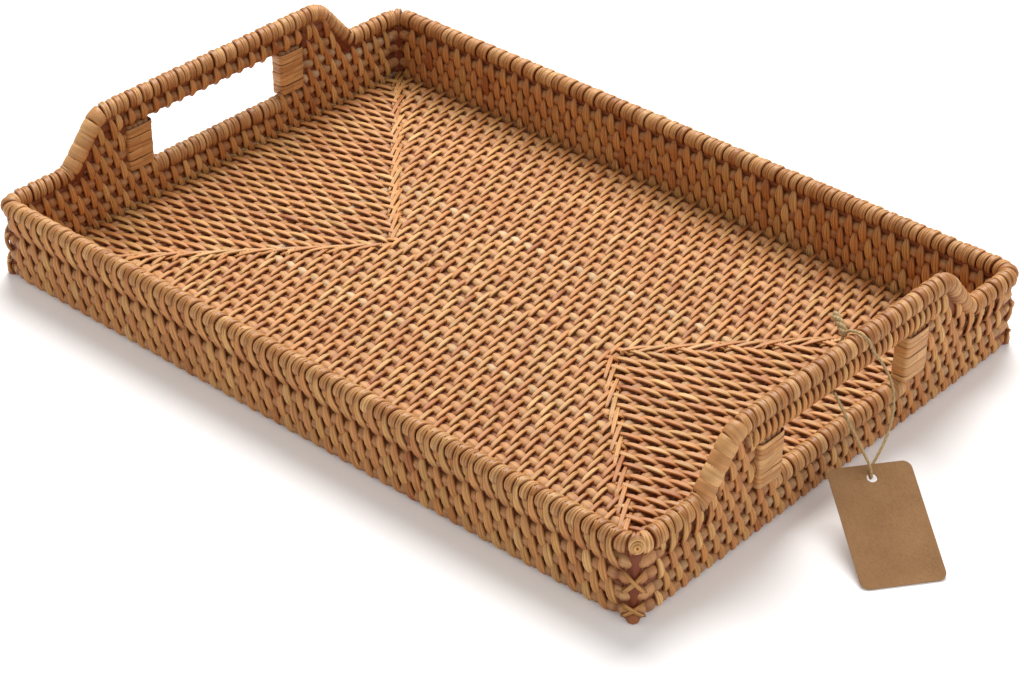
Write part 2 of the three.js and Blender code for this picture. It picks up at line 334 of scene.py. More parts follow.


# Painted shade: darkens and reddens what lies deep between the strands, standing in for their
# shadow and warm bounced light.
def paintedShadeGroup():
    inputs = [
        ("Colour", "NodeSocketColor", None),
        ("Depth", "NodeSocketFloat", 0.0),
        ("Recess Colour", "NodeSocketColor", None),
        ("Strength", "NodeSocketFloat", 0.8),
    ]
    group, source, sink = newGroup("recess shade", inputs, [("Colour", "NodeSocketColor")])
    share = math2(group, "MULTIPLY", source.outputs["Depth"], source.outputs["Strength"],
                  clamp=True)
    mixed = blendColours(group, share, source.outputs["Colour"], source.outputs["Recess Colour"])
    feed(group, sink, {"Colour": mixed})
    return group


fibres = fibreGroup()
recess = paintedShadeGroup()

rattan = {
    "strand": {
        "tones": [
            (0.0, 164, 96, 46), (0.25, 190, 126, 68), (0.55, 202, 142, 82),
            (0.8, 198, 148, 84), (1.0, 216, 168, 106),
        ],
        "roughness": 0.46, "bump": 0.5,
    },
    "core": {
        "tones": [
            (0.0, 168, 104, 56), (0.3, 192, 134, 80), (0.6, 202, 150, 98),
            (0.85, 200, 160, 110), (1.0, 220, 188, 146),
        ],
        "roughness": 0.55, "bump": 0.6,
    },
    "cane": {
        "tones": [
            (0.0, 164, 104, 54), (0.5, 186, 132, 78), (1.0, 206, 158, 102),
        ],
        "roughness": 0.42, "bump": 0.5,
    },
}


# What the three have in common; recess and recessShare are the colour and strength of the painted
# shade
surface = {
    "patch": 0.8, "streak": (1.95, 0.05), "streakShare": 0.7, "recess": srgb(108, 38, 8),
    "recessShare": 0.85, "roughGain": 0.3, "roughDrop": 0.12, "bumpReach": 0.0004,
    "specular": 0.4,
}


def rattanMaterial(name, look):
    material, tree, shader = addMaterial(name)
    uv = node(tree, "ShaderNodeUVMap", uv_map="grain")
    mark = node(tree, "ShaderNodeAttribute", attribute_name="mark")
    parts = node(tree, "ShaderNodeSeparateColor", {0: mark.outputs["Color"]})
    tone, hue, shadeDepth = parts.outputs[0], parts.outputs[1], parts.outputs[2]
    grain = node(tree, "ShaderNodeGroup", node_tree=fibres)
    feed(tree, grain, {"Along": uv.outputs[0], "Seed": hue})
    patch = math2(tree, "SUBTRACT", grain.outputs["Blotch"], 0.5)
    shifted = math2(tree, "MULTIPLY_ADD", patch, surface["patch"], tone)
    base = ramp(tree, shifted, look["tones"])
    streak = math2(tree, "MULTIPLY_ADD", grain.outputs["Fibre"], *surface["streak"])
    streakColour = node(tree, "ShaderNodeCombineColor", {0: streak, 1: streak, 2: streak})
    streaked = blendColours(tree, surface["streakShare"], base, streakColour.outputs[0], "MULTIPLY")
    # painted shade, as much as the mark's shadeDepth gives
    shade = node(tree, "ShaderNodeGroup", node_tree=recess)
    feed(tree, shade, {
        "Colour": streaked, "Depth": shadeDepth, "Recess Colour": (*surface["recess"], 1),
        "Strength": surface["recessShare"],
    })
    rough = math2(tree, "MULTIPLY_ADD", grain.outputs["Fibre"], surface["roughGain"],
                  look["roughness"] - surface["roughDrop"])
    bump = node(tree, "ShaderNodeBump", {
        "Strength": look["bump"], "Distance": surface["bumpReach"],
        "Height": grain.outputs["Fibre"],
    })
    feed(tree, shader, {
        "Base Color": shade.outputs[0], "Roughness": rough, "Normal": bump.outputs[0],
        "Specular IOR Level": surface["specular"],
    })
    return material


strandLook = rattanMaterial("rattan strand", rattan["strand"])
coreLook = rattanMaterial("rattan core", rattan["core"])
caneLook = rattanMaterial("cane peel", rattan["cane"])
print("materials made")


# Places taken from the frame

def nodeBox(name):
    low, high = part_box(name)
    return np.array(low), np.array(high)


def middleOf(name, axis):
    low, high = nodeBox(name)
    return float((low[axis] + high[axis]) / 2)


quarters = [(signX, signY) for signX in (-1, 1) for signY in (-1, 1)]
wallX = middleOf("right_rod_1", 0)
wallY = middleOf("back_rod_1", 1)
rimX = middleOf("right_under_rod", 0)
rimY = middleOf("rim_back", 1)
rimZ = middleOf("rim_back", 2)
rowZ = [middleOf(f"back_rod_{row}", 2) for row in (1, 2, 3, 4)]
sillZ = middleOf("right_sill", 2)
underZ = middleOf("right_under_rod", 2)
railHalf = 0.0047
barZ = float(nodeBox("right_hand_rail")[1][2]) - railHalf
hoopCount = sum(name.startswith("floor_hoop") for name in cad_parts)
hoopHalf = [nodeBox(f"floor_hoop_{k + 1:02d}")[1][:2] for k in range(hoopCount)]
hoopZ = middleOf("floor_hoop_01", 2)

# Where there are two values, the first is for the front and the back of the floor.
floor = {
    "corner": 0.004, "edge": 0.002, "rodWide": 0.0023, "rodHigh": 0.0019, "bead": 0.0006,
    "beadRise": (0.0011, 0.0005), "beadSkew": 0.0004, "rodLow": 0.00255,
    "rodShade": ((0.75, 0.67), (0.8, 0.35)), "pitch": 0.0041, "rowPitch": (0.0082, 0.0076),
    "jitter": 0.0002, "strandWide": (0.00112, 0.0015), "strandThick": 0.00085,
    "strandTop": 0.0057, "strandLow": 0.00085, "bow": 0.0022, "sharp": (4.0, 2.8),
    "taper": (0.28, 0.6), "lean": (-0.0010, 0.0018), "length": (0.93, 1.0),
    "edgeLength": 0.55, "lowLength": 0.66, "lowBow": 0.0011, "lowThick": 0.0007,
    "step": 0.00137, "hoopThick": 0.0033,
}

# Rods under the floor's strands, painted dark as shade, as half the width and half the thickness
fill = {
    "step": 0.006, "height": 0.0027, "loop": (0.0027, 0.0013), "middle": (0.0028, 0.0013),
    "inmost": 0.0075, "mitre": (0.0046, 0.0012), "mitreHeight": 0.0021,
}

# Half lengths of the wall and then of each hoop's middle line
halves = [np.array([wallX, wallY])] + [half - floor["hoopThick"] for half in hoopHalf]


def loopCorners(halfX, halfY, radius, step):
    radius = min(radius, halfY * 0.98)
    runs = []
    corners = [(1, -1, -90), (1, 1, 0), (-1, 1, 90), (-1, -1, 180)]
    for signX, signY, turn in corners:
        centre = np.array([signX * (halfX - radius), signY * (halfY - radius)])
        angles = np.radians(turn + np.linspace(0, 90, 7))
        runs.append(centre + radius * np.stack([np.cos(angles), np.sin(angles)], -1))
    path = []
    for k in range(4):
        path.append(runs[k])
        start, end = runs[k][-1], runs[(k + 1) % 4][0]
        count = max(2, int(np.linalg.norm(end - start) / step))
        path.append(start + (end - start) * (np.arange(1, count) / count)[:, None])
    return np.concatenate(path)


# Where a rod shows between two strands it swells into a bead.
def beadShare(phase):
    return ((1 + np.cos(math.pi * phase)) / 2) ** 0.55


# One strand from where it comes out beside a rod to where it dives again, with painted shade on the
# ends that dive.
def addLens(weave, centre, across, along, up, half, bow, wide, thick, lean, fat=0.0, tone=None,
            sharp=3.0, rings=11, taper=0.5, section="paired"):
    t = np.linspace(-1, 1, rings)
    rest = np.abs(t) ** sharp
    swing = along * (lean * t)[:, None] + up * (-bow * rest)[:, None]
    points = centre + across * (half * t)[:, None] + swing
    belly = np.clip(np.abs(t - fat), 0, 1.3)
    width = wide * (1 - taper * belly ** 2.2) * chance.uniform(0.9, 1.1)
    shadeDepth = np.clip((np.abs(t) - 0.7) * 2.6, 0, 1)
    weave.add(points, up, width, thick, section, shadeDepth, tone=tone)


def makeFloorRods():
    weave = Weave("floor_rods")
    for k in range(hoopCount):
        halfX, halfY = halves[k + 1]
        flat = loopCorners(halfX, halfY, floor["corner"], floor["step"])
        onLong = halfY - np.abs(flat[:, 1]) < floor["edge"]
        phase = np.where(onLong, flat[:, 0], flat[:, 1]) / floor["pitch"] + k + 1
        bead = beadShare(phase)
        skew = -floor["beadSkew"] * np.sin(math.pi * phase)
        rise = np.where(onLong, *floor["beadRise"])
        points = np.column_stack([flat, floor["rodLow"] + rise * bead])
        points[:, 1] += np.where(onLong, skew, 0)
        points[:, 0] += np.where(onLong, 0, skew)
        size = chance.uniform(0.95, 1.06)
        wide = (floor["rodWide"] + floor["bead"] * bead) * size
        high = (floor["rodHigh"] + 0.0002 * bead) * size
        # painted shade on the rod where strands cover it, less on the beads that show
        shadeDepths = [deep - lift * bead for deep, lift in floor["rodShade"]]
        weave.add(points, up, wide, high, "round", np.where(onLong, *shadeDepths), True)
    nodes = [f"floor_hoop_{k + 1:02d}" for k in range(hoopCount)]
    weave.build(coreLook, "rattan_rod", nodes)


# Thin rods that lie deep between the others, painted in full shade so the gaps read dark.
def makeFloorFill():
    weave = Weave("floor_fill")
    for outer, inner in zip(halves, halves[1:]):
        middle = (outer + inner) / 2
        flat = loopCorners(middle[0], middle[1], floor["corner"], fill["step"])
        points = np.column_stack([flat, np.full(len(flat), fill["height"])])
        weave.add(points, up, *fill["loop"], "round", 1, True)
    inmost = np.array([hoopHalf[-1][0] - fill["inmost"], 0.0])
    line = np.linspace(-1, 1, 40)[:, None] * inmost
    points = np.column_stack([line, np.full(40, fill["height"])])
    weave.add(points, up, *fill["middle"], "round", 1)
    for signX, signY in quarters:
        ends = np.array([signX, signY]) * np.array([[wallX, wallY], inmost])
        line = ends[0] + (ends[1] - ends[0]) * np.linspace(0, 1, 30)[:, None]
        points = np.column_stack([line, np.full(30, fill["mitreHeight"])])
        weave.add(points, up, *fill["mitre"], "round", 1)
    weave.build(coreLook, "rattan_rod")


# The strands over and under one straight run of a hoop.
def strandsOnRun(top, low, reach, half, axis, level):
    across, along = np.eye(3)[[1 - axis, axis]]
    pitch = floor["pitch"]
    rowPitch = floor["rowPitch"][axis]
    wide = floor["strandWide"][axis]
    lean = floor["lean"][axis]
    count = int((half + 0.001) / pitch)
    for i in range(-count, count + 1):
        centre = along * (i * pitch + chance.normal(0, floor["jitter"])) + across * reach
        atEdge = half - abs(i * pitch) < floor["edge"]
        if (i + level) % 2 == 0:
            centre[2] = floor["strandTop"]
            if atEdge:
                share = floor["edgeLength"]
            else:
                share = floor["length"][axis] * chance.uniform(0.95, 1.05)
            addLens(top, centre, across, along, up, rowPitch * share, floor["bow"], wide,
                    floor["strandThick"], lean * chance.uniform(0.7, 1.3),
                    sharp=floor["sharp"][axis], rings=9, taper=floor["taper"][axis])
        elif not atEdge:
            centre[2] = floor["strandLow"]
            addLens(low, centre, across, along, -up, rowPitch * floor["lowLength"],
                    floor["lowBow"], wide, floor["lowThick"], lean, rings=5, section="flat")


def makeFloorStrands():
    top = {name: Weave(f"floor_strands_{name}") for name in ("front", "back", "left", "right")}
    low = Weave("floor_strands_under")
    for k, (halfX, halfY) in enumerate(halves[1:]):
        strandsOnRun(top["front"], low, -halfY, halfX, 0, k)
        strandsOnRun(top["back"], low, halfY, halfX, 0, k)
        strandsOnRun(top["left"], low, -halfX, halfY, 1, k)
        strandsOnRun(top["right"], low, halfX, halfY, 1, k)
    for weave in [*top.values(), low]:
        weave.build(strandLook, "rattan_rod")


seam = {"wide": 0.0011, "thick": 0.0007, "height": 0.0024, "lift": 0.0006, "reach": 0.0030}


# Strands laid along the mitre lines overlap one another like scales.
def makeSeams():
    weave = Weave("floor_seams")
    for signX, signY in quarters:
        line = np.array(halves) * (signX, signY)
        away = unit(line[-1] - line[0])
        sideways = np.array([-away[1], away[0]]) * signX * signY
        for k in range(hoopCount):
            s = np.linspace(-1.05, 1.15, 15)
            spot = np.clip(k + 0.6 + s, 0, hoopCount)
            flat = np.column_stack([np.interp(spot, np.arange(len(line)), line[:, a])
                                    for a in range(2)])
            flat = flat + sideways * (seam["reach"] * s * chance.uniform(0.7, 1.1))[:, None]
            z = hoopZ + seam["height"] * np.cos(s * 1.25) ** 0.7 + seam["lift"]
            points = np.column_stack([flat, z])
            wide = seam["wide"] * (0.65 + 0.4 * np.cos(s * 1.3))
            # painted shade on the ends that tuck under the next strand
            shadeDepth = np.clip(np.abs(s) - 0.75, 0, 1)
            weave.add(points, up, wide, seam["thick"], "paired", shadeDepth)
    weave.build(strandLook, "rattan_rod")


makeFloorRods()
makeFloorFill()
makeFloorStrands()
makeSeams()
print("floor woven")


# Side walls, one vertical strand after another over the rods.

rim = {
    "radius": 0.0032, "pitch": 0.0041, "broad": 0.0021, "narrow": 0.0011, "inside": 0.0018,
    "thick": 0.0012, "sunk": -0.0002, "slide": 0.0009, "turn": 0.0084,
}

wall = {
    "rod": 0.0027, "bead": 0.0006, "pitch": 0.0041, "rowPitch": 0.0083, "wide": 0.0023,
    "thick": 0.0011, "rise": 0.0034, "bow": 0.0027, "lean": 0.0019, "inward": (-0.85, -0.4),
    "sway": 0.0007, "step": 0.00137, "fillStep": 0.01, "fillRadius": 0.0019,
    "radius": 0.0048,
}
longHalf = wallX - wall["radius"]
shortHalf = wallY - wall["radius"]
ways = {
    "front": ((1, 0, 0), (0, -1, 0)),
    "right": ((0, 1, 0), (1, 0, 0)),
    "back": ((-1, 0, 0), (0, 1, 0)),
    "left": ((0, -1, 0), (-1, 0, 0)),
}


# A side's middle, the way along it, counterclockwise, and the way out of the tray.
def sideFrame(side):
    along, out = (np.array(way, float) for way in ways[side])
    return out * np.array([wallX, wallY, 0]), along, out


def lineAlong(side, s, z):
    middle, along, out = sideFrame(side)
    points = middle + along * s[:, None]
    points[:, 2] = z
    return points


def addWallRod(weave, side, z, start, end, row):
    out = sideFrame(side)[2]
    s = np.linspace(start, end, max(6, int((end - start) / wall["step"])))
    wave = np.cos(math.pi * (s / wall["pitch"] + row))
    points = lineAlong(side, s, z) - out * (wall["sway"] * wave)[:, None]
    radius = wall["rod"] + wall["bead"] * np.abs(wave)
    # painted shade on the rod where strands cover it, less on the beads
    weave.add(points, up, radius, radius * 0.95, "round", 0.85 - 0.6 * np.abs(wave))


# Thin rods deep between the rows, painted in full shade.
def addWallFill(weave, side, levels, start, end):
    s = np.linspace(start, end, max(3, int((end - start) / wall["fillStep"])))
    for z in levels:
        weave.addRod(lineAlong(side, s, z), wall["fillRadius"], 1)


# The strand over one row, outside or inside, leaning as it goes down.
def addCross(weave, place, along, out, z, face, tone, lean=1.0, length=0.86, size=1.0):
    centre = place + out * face * wall["rise"]
    centre[2] = z
    half = wall["rowPitch"] * length * chance.uniform(0.96, 1.05)
    inward = wall["inward"][0 if abs(out[0]) > abs(out[1]) else 1]
    lean *= wall["lean"] * (1 if face > 0 else inward) * chance.uniform(0.8, 1.2)
    addLens(weave, centre, -up, along, out * face, half, wall["bow"], wall["wide"] * size,
            wall["thick"], lean, 0.12, tone, 2.6, rings=9, taper=0.62, section="ribbed")


# A slim turn of the rim runs on down the wall as its top strand.
joined = {
    "along": [-0.0006, -0.0003, 0.0000, 0.0006, 0.0014, 0.0022, 0.0027],
    "out": [0.0018, 0.0046, 0.0051, 0.0049, 0.0041, 0.0025, 0.0008],
    "up": [0.0044, 0.0014, -0.0022, -0.0055, -0.0088, -0.0120, -0.0138],
    "wide": [0.0011, 0.0012, 0.0014, 0.0019, 0.0023, 0.0017, 0.0009],
    "tail": -0.0046, "tailHalf": 0.0044, "tailWide": 0.0017, "tailOut": 0.0036, "thick": 0.0009,
}


def addJoined(weave, place, along, out, tone, size):
    route = smoothRoute(np.column_stack([joined[key] for key in ("along", "out", "up")]), 3)
    points = place + np.outer(route[:, 0] * chance.uniform(0.8, 1.2), along)
    points = points + np.outer(route[:, 1], out)
    points[:, 2] = rimZ + route[:, 2]
    spots = np.linspace(0, len(joined["wide"]) - 1, len(points))
    wide = np.interp(spots, np.arange(len(joined["wide"])), joined["wide"]) * size
    # painted shade grows along the strand as it goes down under the next
    shadeDepth = np.clip(np.linspace(-1.6, 1, len(points)), 0, 1)
    ups = np.outer(route[:, 1] * 0 + 1, out) + np.outer(np.clip(route[:, 2], 0, 1) * 250, up)
    weave.add(points, unit(ups), wide, joined["thick"], "paired", shadeDepth, tone=tone)


def crossWall(weave, place, along, out, levels, index, lean=1.0, size=1.0):
    tone = toneDraw()
    for row, z in enumerate(levels):
        face = 1 if (index + row) % 2 == 0 else -1
        underRim = z == levels[-1] == rowZ[3]
        if underRim and face > 0:
            addJoined(weave, place, along, out, tone, size)
            continue
        if underRim:
            tail = place + out * joined["tailOut"]
            tail[2] = rimZ + joined["tail"]
            addLens(weave, tail, -up, along, out, joined["tailHalf"], 0.0022,
                    joined["tailWide"] * size, wall["thick"], 0.0006, -0.3, tone, 2.6, rings=7,
                    taper=0.6, section="ribbed")
        raised, length = (0.0016, 0.62) if row == 0 else (0.0, 0.84)
        addCross(weave, place, along, out, z + raised, face, tone, lean, length, size)


def makeLongWall(side):
    middle, along, out = sideFrame(side)
    rods = Weave(f"wall_rods_{side}")
    for row, z in enumerate(rowZ):
        addWallRod(rods, side, z, -longHalf, longHalf, row)
    gaps = [(a + b) / 2 for a, b in zip(rowZ, rowZ[1:] + [rimZ])]
    addWallFill(rods, side, gaps, -longHalf, longHalf)
    rods.build(coreLook, "rattan_rod", [f"{side}_rod_{row}" for row in (1, 2, 3, 4)])
    strands = Weave(f"wall_strands_{side}")
    count = int(longHalf / wall["pitch"]) - 1
    for i in range(-count, count + 1):
        place = middle + along * i * wall["pitch"]
        crossWall(strands, place, along, out, rowZ, i)
    strands.build(strandLook, "rattan_rod")


for side in ("front", "back"):
    makeLongWall(side)
print("long walls woven")


# Corners, where all four rows bend together

corner = {
    "beadRows": (1, 3), "beadLength": 0.0043, "beadIn": 0.0012, "bead": 0.0036,
    "crossWide": 0.00085, "post": 0.0030, "peg": 0.0030, "pegOut": 0.0024,
    "pegHigh": 0.0052, "pegSwell": (0.86, 1.0, 1.04, 1.0, 0.8, 0.4),
    "curl": (0.0036, 0.0025, 0.0013),
}


# Two swollen rod ends meet beside each corner line.
def addRodEnds(rods, signX, signY, z):
    t = np.linspace(-1, 1, 9)
    reach = corner["beadLength"] * (t + 0.9) + corner["beadIn"]
    swell = np.sqrt(np.clip(1.02 - np.clip(-t, 0, 1) ** 2, 0, 1))
    for along in np.array([(signX, 0, 0.0), (0, signY, 0.0)]):
        points = np.array([signX * wallX, signY * wallY, 0]) - along * reach[:, None]
        points[:, 2] = z
        radius = corner["bead"] * (0.35 + 0.65 * swell)
        # painted shade grows towards the thin end that goes under
        rods.addRod(points, radius, 0.1 + 0.3 * (1 - swell), tone=0.6)


# The end of the rim cane is rolled up on the outside of the corner.
def addCurl(strands, tip, out):
    angles = np.linspace(0, 2 * math.pi, 19)[:-1]
    way = unit(out + np.array([0, 0, -0.25]))
    side = unit(np.cross(way, up))
    rise = np.cross(side, way)
    ring = side * np.cos(angles)[:, None] * 0.8 + rise * np.sin(angles)[:, None] * 1.25
    for k, radius in enumerate(corner["curl"]):
        points = tip + ring * radius + way * 0.0005 * k
        # a touch of painted shade on the curl
        strands.add(points, way, 0.00062, 0.0013, "flat", 0.1, True, tone=0.85)


def makeCorner(signX, signY):
    name = ("front" if signY < 0 else "back") + ("_left" if signX < 0 else "_right")
    centre = np.array([signX * longHalf, signY * shortHalf, 0])
    out = unit(np.array([signX, signY, 0.0]))
    rods = Weave(f"corner_rods_{name}")
    turn = np.radians(np.linspace(-2, 92, 14))
    spokes = np.column_stack([signX * np.cos(turn), signY * np.sin(turn), np.zeros(len(turn))])
    for row, z in enumerate(rowZ):
        points = centre + spokes * wall["radius"]
        if row in corner["beadRows"]:
            addRodEnds(rods, signX, signY, z)
        else:
            points[:, 2] = z
            # a touch of painted shade on the bent rod, and full painted shade on the rod in the gap
            # above it
            rods.addRod(points, wall["rod"] + 0.0003, 0.05)
        points = centre + spokes * (wall["radius"] - 0.0008)
        points[:, 2] = z + wall["rowPitch"] / 2
        rods.addRod(points, wall["fillRadius"], 1)
    place = centre + out * wall["radius"]
    levels = np.linspace(0.003, rimZ - 0.003, 9)
    post = np.column_stack([np.full((9, 2), place[:2]), levels])
    # the post and the peg: darkest tone, with full and half painted shade
    rods.addRod(post, corner["post"], 1, out, tone=0)
    foot = (place + out * corner["pegOut"])[:2]
    peg = np.column_stack([np.full((6, 2), foot), np.linspace(0, corner["pegHigh"], 6)])
    rods.addRod(peg, corner["peg"] * np.array(corner["pegSwell"]), 0.5, out, tone=0.0)
    rods.build(coreLook, "rattan_rod", [f"corner_{name}"])
    strands = Weave(f"corner_strands_{name}")
    along = np.array([-out[1], out[0], 0])
    spot = place + out * 0.0002
    slim = corner["crossWide"] / wall["wide"]
    for lean in (-1, 1):
        crossing = spot + out * (0.0006 if lean > 0 else 0)
        addCross(strands, crossing, along, out, rowZ[2], 1, 0.7, 2.4 * lean, 0.7, slim)
        crossing = crossing + out * wall["rise"]
        crossing[2] = rowZ[0] + 0.0028
        addLens(strands, crossing, -up, along, out, 0.0034, 0.0016, corner["crossWide"],
                wall["thick"], 0.0046 * lean, tone=0.7, rings=7)
    if name == "front_right":
        tip = place + out * (rim["radius"] + 0.0012)
        tip[2] = rimZ + 0.0026
        addCurl(strands, tip, out)
    strands.build(strandLook, "rattan_rod")


for signX, signY in quarters:
    makeCorner(signX, signY)
print("corners bent")


# Rim and hand bars, wrapped in cane peel

# A line in space that can be read by its length.
class Rail:
    def __init__(self, points):
        self.points = np.asarray(points, float)
        gaps = np.linalg.norm(np.diff(self.points, axis=0), axis=1)
        self.reach = np.concatenate([[0], np.cumsum(gaps)])
        self.length = self.reach[-1]

    def at(self, s):
        s = np.clip(s, 0, self.length)
        return np.column_stack([np.interp(s, self.reach, self.points[:, a]) for a in range(3)])

    def way(self, s, step=0.003):
        return unit(self.at(np.clip(s + step, 0, self.length)) - self.at(s - step))

    def find(self, axis, value):
        s = np.linspace(0, self.length, 4000)
        gap = np.abs(self.at(s)[:, axis] - value)
        return float(s[np.argmin(gap)])


# One turn of cane round a rail. Angles run from the outside up over the top.
def addTurn(weave, rail, centre, radius, outer, inner, slide, section="ribbed", shade=0.0):
    angles = np.radians(np.linspace(-95, 265, 21))
    reach = centre + slide * (1 - np.cos(angles)) * chance.uniform(0.7, 1.3)
    way = rail.way(reach, 0.004)
    side = unit(np.cross(way, up))
    rise = np.cross(side, way)
    outward = side * np.cos(angles)[:, None] + rise * np.sin(angles)[:, None]
    points = rail.at(reach) + outward * (radius + rim["thick"] * 0.3)
    share = np.clip((np.sin(angles - 0.9) + 0.3) * 1.3, 0, 1)
    width = outer + (inner - outer) * share
    before, after = rail.way(np.array([centre - 0.004, centre + 0.004]), 0.002)
    bend = float(np.linalg.norm(after - before)) / 0.008
    width = width * (1 + bend * radius * 0.7 * np.cos(angles))
    width = width * np.clip(1.06 - 0.35 * np.clip(-np.sin(angles), 0, 1) ** 2, 0.3, 1.1)
    # painted shade on the underside of the turn, plus the extra shade given
    shadeDepth = np.clip(-np.sin(angles) * 1.1 - 0.3, 0, 1) + shade
    weave.add(points, unit(outward), width, rim["thick"], section, shadeDepth)


def wrapStretch(weave, rail, start, end, parity=0, slimShade=0.22):
    turns = int(round((end - start) / rim["pitch"]))
    pitch = (end - start) / turns
    for k in range(turns):
        slim = (k + parity) % 2 == 1
        outer = (rim["narrow"] if slim else rim["broad"]) * chance.uniform(0.9, 1.08)
        centre = start + (k + 0.5) * pitch + chance.normal(0, 0.00015) - rim["slide"] / 2
        radius = rim["radius"] - (rim["sunk"] if slim else 0) + chance.normal(0, 0.00008)
        section = "paired" if slim else "ribbed"
        # slim turns sit lower and get painted shade for the dark gaps beside them
        shade = slimShade if slim else 0.0
        addTurn(weave, rail, centre, radius, outer, rim["inside"], rim["slide"], section, shade)


rimTurns = int((rimX - rim["turn"]) / rim["pitch"] - 0.5)
rimHalf = (rimTurns + 0.5) * rim["pitch"]


def makeRim(side):
    path = lineAlong(side, np.linspace(-rimHalf, rimHalf, 200), rimZ)
    path[:, 1] = math.copysign(rimY, path[0, 1])
    core = Weave(f"rim_core_{side}")
    # the core shows only between the wraps: darkest tone and full painted shade
    core.addRod(path, rim["radius"], 1, tone=0)
    core.build(coreLook, "rattan_wrap", [f"rim_{side}"])
    wraps = Weave(f"rim_wrap_{side}")
    rail = Rail(path)
    wrapStretch(wraps, rail, 0, rail.length, rimTurns, 0.08)
    wraps.build(caneLook, "rattan_wrap")


for side in ("front", "back"):
    makeRim(side)
print("rim wrapped")


# The two ends with their hand holes

# wrapShade is painted shade on the slim turns of each bar's top, heavier on the right bar
handle = {
    "footHalf": 0.0973, "topHalf": 0.0759, "ease": 0.006, "postInner": 0.0443,
    "panelStart": 0.0616, "panelRows": [0.0365, 0.0445], "panelEnds": [0.0863, 0.0798],
    "underHalf": 0.0690, "underRadius": 0.0038, "between": 0.0022,
    "bands": (5, 0.57, 0.0004), "lenses": (8, 0.62, 0.0022),
    "wrapShade": {"left": 0.15, "right": 0.35}, "fillUp": (0.0042, 0.0043),
    "fillShort": 0.004, "slopeDrops": (0.0030, 0.0075, 0.0120),
    "slopeFill": (0.0032, 0.0026), "strandSize": 0.8,
}


def easedPath(corners, eases, step=0.0012):
    corners = np.array(corners, float)
    points = [corners[0]]
    for last, here, following, ease in zip(corners, corners[1:], corners[2:], eases):
        before = here + unit(last - here) * ease
        after = here + unit(following - here) * ease
        for t in np.linspace(0, 1, 9):
            points.append((1 - t) ** 2 * before + 2 * t * (1 - t) * here + t ** 2 * after)
    coarse = Rail([*points, corners[-1]])
    return coarse.at(np.linspace(0, coarse.length, int(coarse.length / step)))


def makeRail(side):
    sign = 1 if side == "right" else -1
    x = sign * rimX
    corners = [(sign * rimHalf, -rimY, rimZ), (x, -rimY, rimZ), (x, -handle["footHalf"], rimZ),
               (x, -handle["topHalf"], barZ), (x, handle["topHalf"], barZ),
               (x, handle["footHalf"], rimZ), (x, rimY, rimZ), (sign * rimHalf, rimY, rimZ)]
    ease = handle["ease"]
    turn = rim["turn"] - 0.0001
    path = easedPath(corners, [turn, ease, ease, ease, ease, turn])
    path = path[::sign]
    rail = Rail(path)
    core = Weave(f"hand_rail_core_{side}")
    # the core shows only between the wraps: darkest tone and full painted shade
    core.addRod(path, rim["radius"], 1, tone=0)
    core.build(coreLook, "rattan_wrap", [f"{side}_hand_rail"])
    wraps = Weave(f"hand_rail_wrap_{side}")
    mid = rail.length / 2
    top = handle["topHalf"] - 0.003
    foot = mid - rail.find(1, -sign * handle["footHalf"]) - 0.002
    wrapStretch(wraps, rail, 0, mid - foot)
    wrapStretch(wraps, rail, mid - top, mid + top, 0, handle["wrapShade"][side])
    wrapStretch(wraps, rail, mid + foot, rail.length)
    span = foot - top
    count, share, slide = handle["bands"]
    for k in range(count):
        centre = mid - sign * (foot - (k + 0.5) * span / count)
        wide = span / count * share
        addTurn(wraps, rail, centre, rim["radius"], wide, wide, slide, "flat")
    count, share, slide = handle["lenses"]
    for k in range(count):
        centre = mid + sign * (top + (k + 0.5) * span / count)
        wide = span / count * share
        addTurn(wraps, rail, centre, rim["radius"], wide, wide, -sign * slide)
    wraps.build(caneLook, "rattan_wrap")


def makeUnderRod(side):
    middle, along, out = sideFrame(side)
    half = handle["underHalf"]
    s = np.linspace(-half, half, 110)
    path = lineAlong(side, s, underZ)
    path[:, 0] = math.copysign(rimX, path[0, 0])
    weave = Weave(f"under_rod_{side}")
    wave = np.abs(np.cos(math.pi * (s / wall["pitch"] + 0.5)))
    radius = handle["underRadius"] - 0.0008 + 0.0004 * wave
    # painted shade on the rod, less where it swells between the strands
    weave.addRod(path, radius, 0.6 - 0.35 * wave)
    weave.build(coreLook, "rattan_rod", [f"{side}_under_rod"])
    strands = Weave(f"under_rod_strands_{side}")
    # a rod between the under rod and the bar, painted nearly in full shade
    between = path.copy()
    between[:, 2] = (underZ + barZ) / 2
    strands.addRod(between, handle["between"], 0.9)
    count = int(half / wall["pitch"])
    for i in range(-count, count + 1):
        place = middle + along * i * wall["pitch"]
        place[0] = math.copysign(rimX, place[0])
        tone = toneDraw()
        for face in (-1, 1):
            if face < 0 and i % 2:
                continue
            spot = place + out * face * 0.0006
            size, length = (0.56, 0.68) if face > 0 else (0.86, 0.62)
            addCross(strands, spot, along, out, underZ + 0.0020, face, tone, 0.3, length, size)
    strands.build(strandLook, "rattan_rod")


def makeSill(side):
    rods = Weave(f"sill_rod_{side}")
    addWallRod(rods, side, sillZ, -shortHalf, shortHalf, 2)
    rods.build(coreLook, "rattan_wrap", [f"{side}_sill"])
    half = handle["postInner"] + 0.001
    wraps = Weave(f"sill_wrap_{side}")
    rail = Rail(lineAlong(side, np.linspace(-half, half, 80), sillZ))
    count = int(half / rim["pitch"])
    start = half - (count + 0.5) * rim["pitch"]
    wrapStretch(wraps, rail, start, rail.length - start, count + 1)
    wraps.build(caneLook, "rattan_wrap")


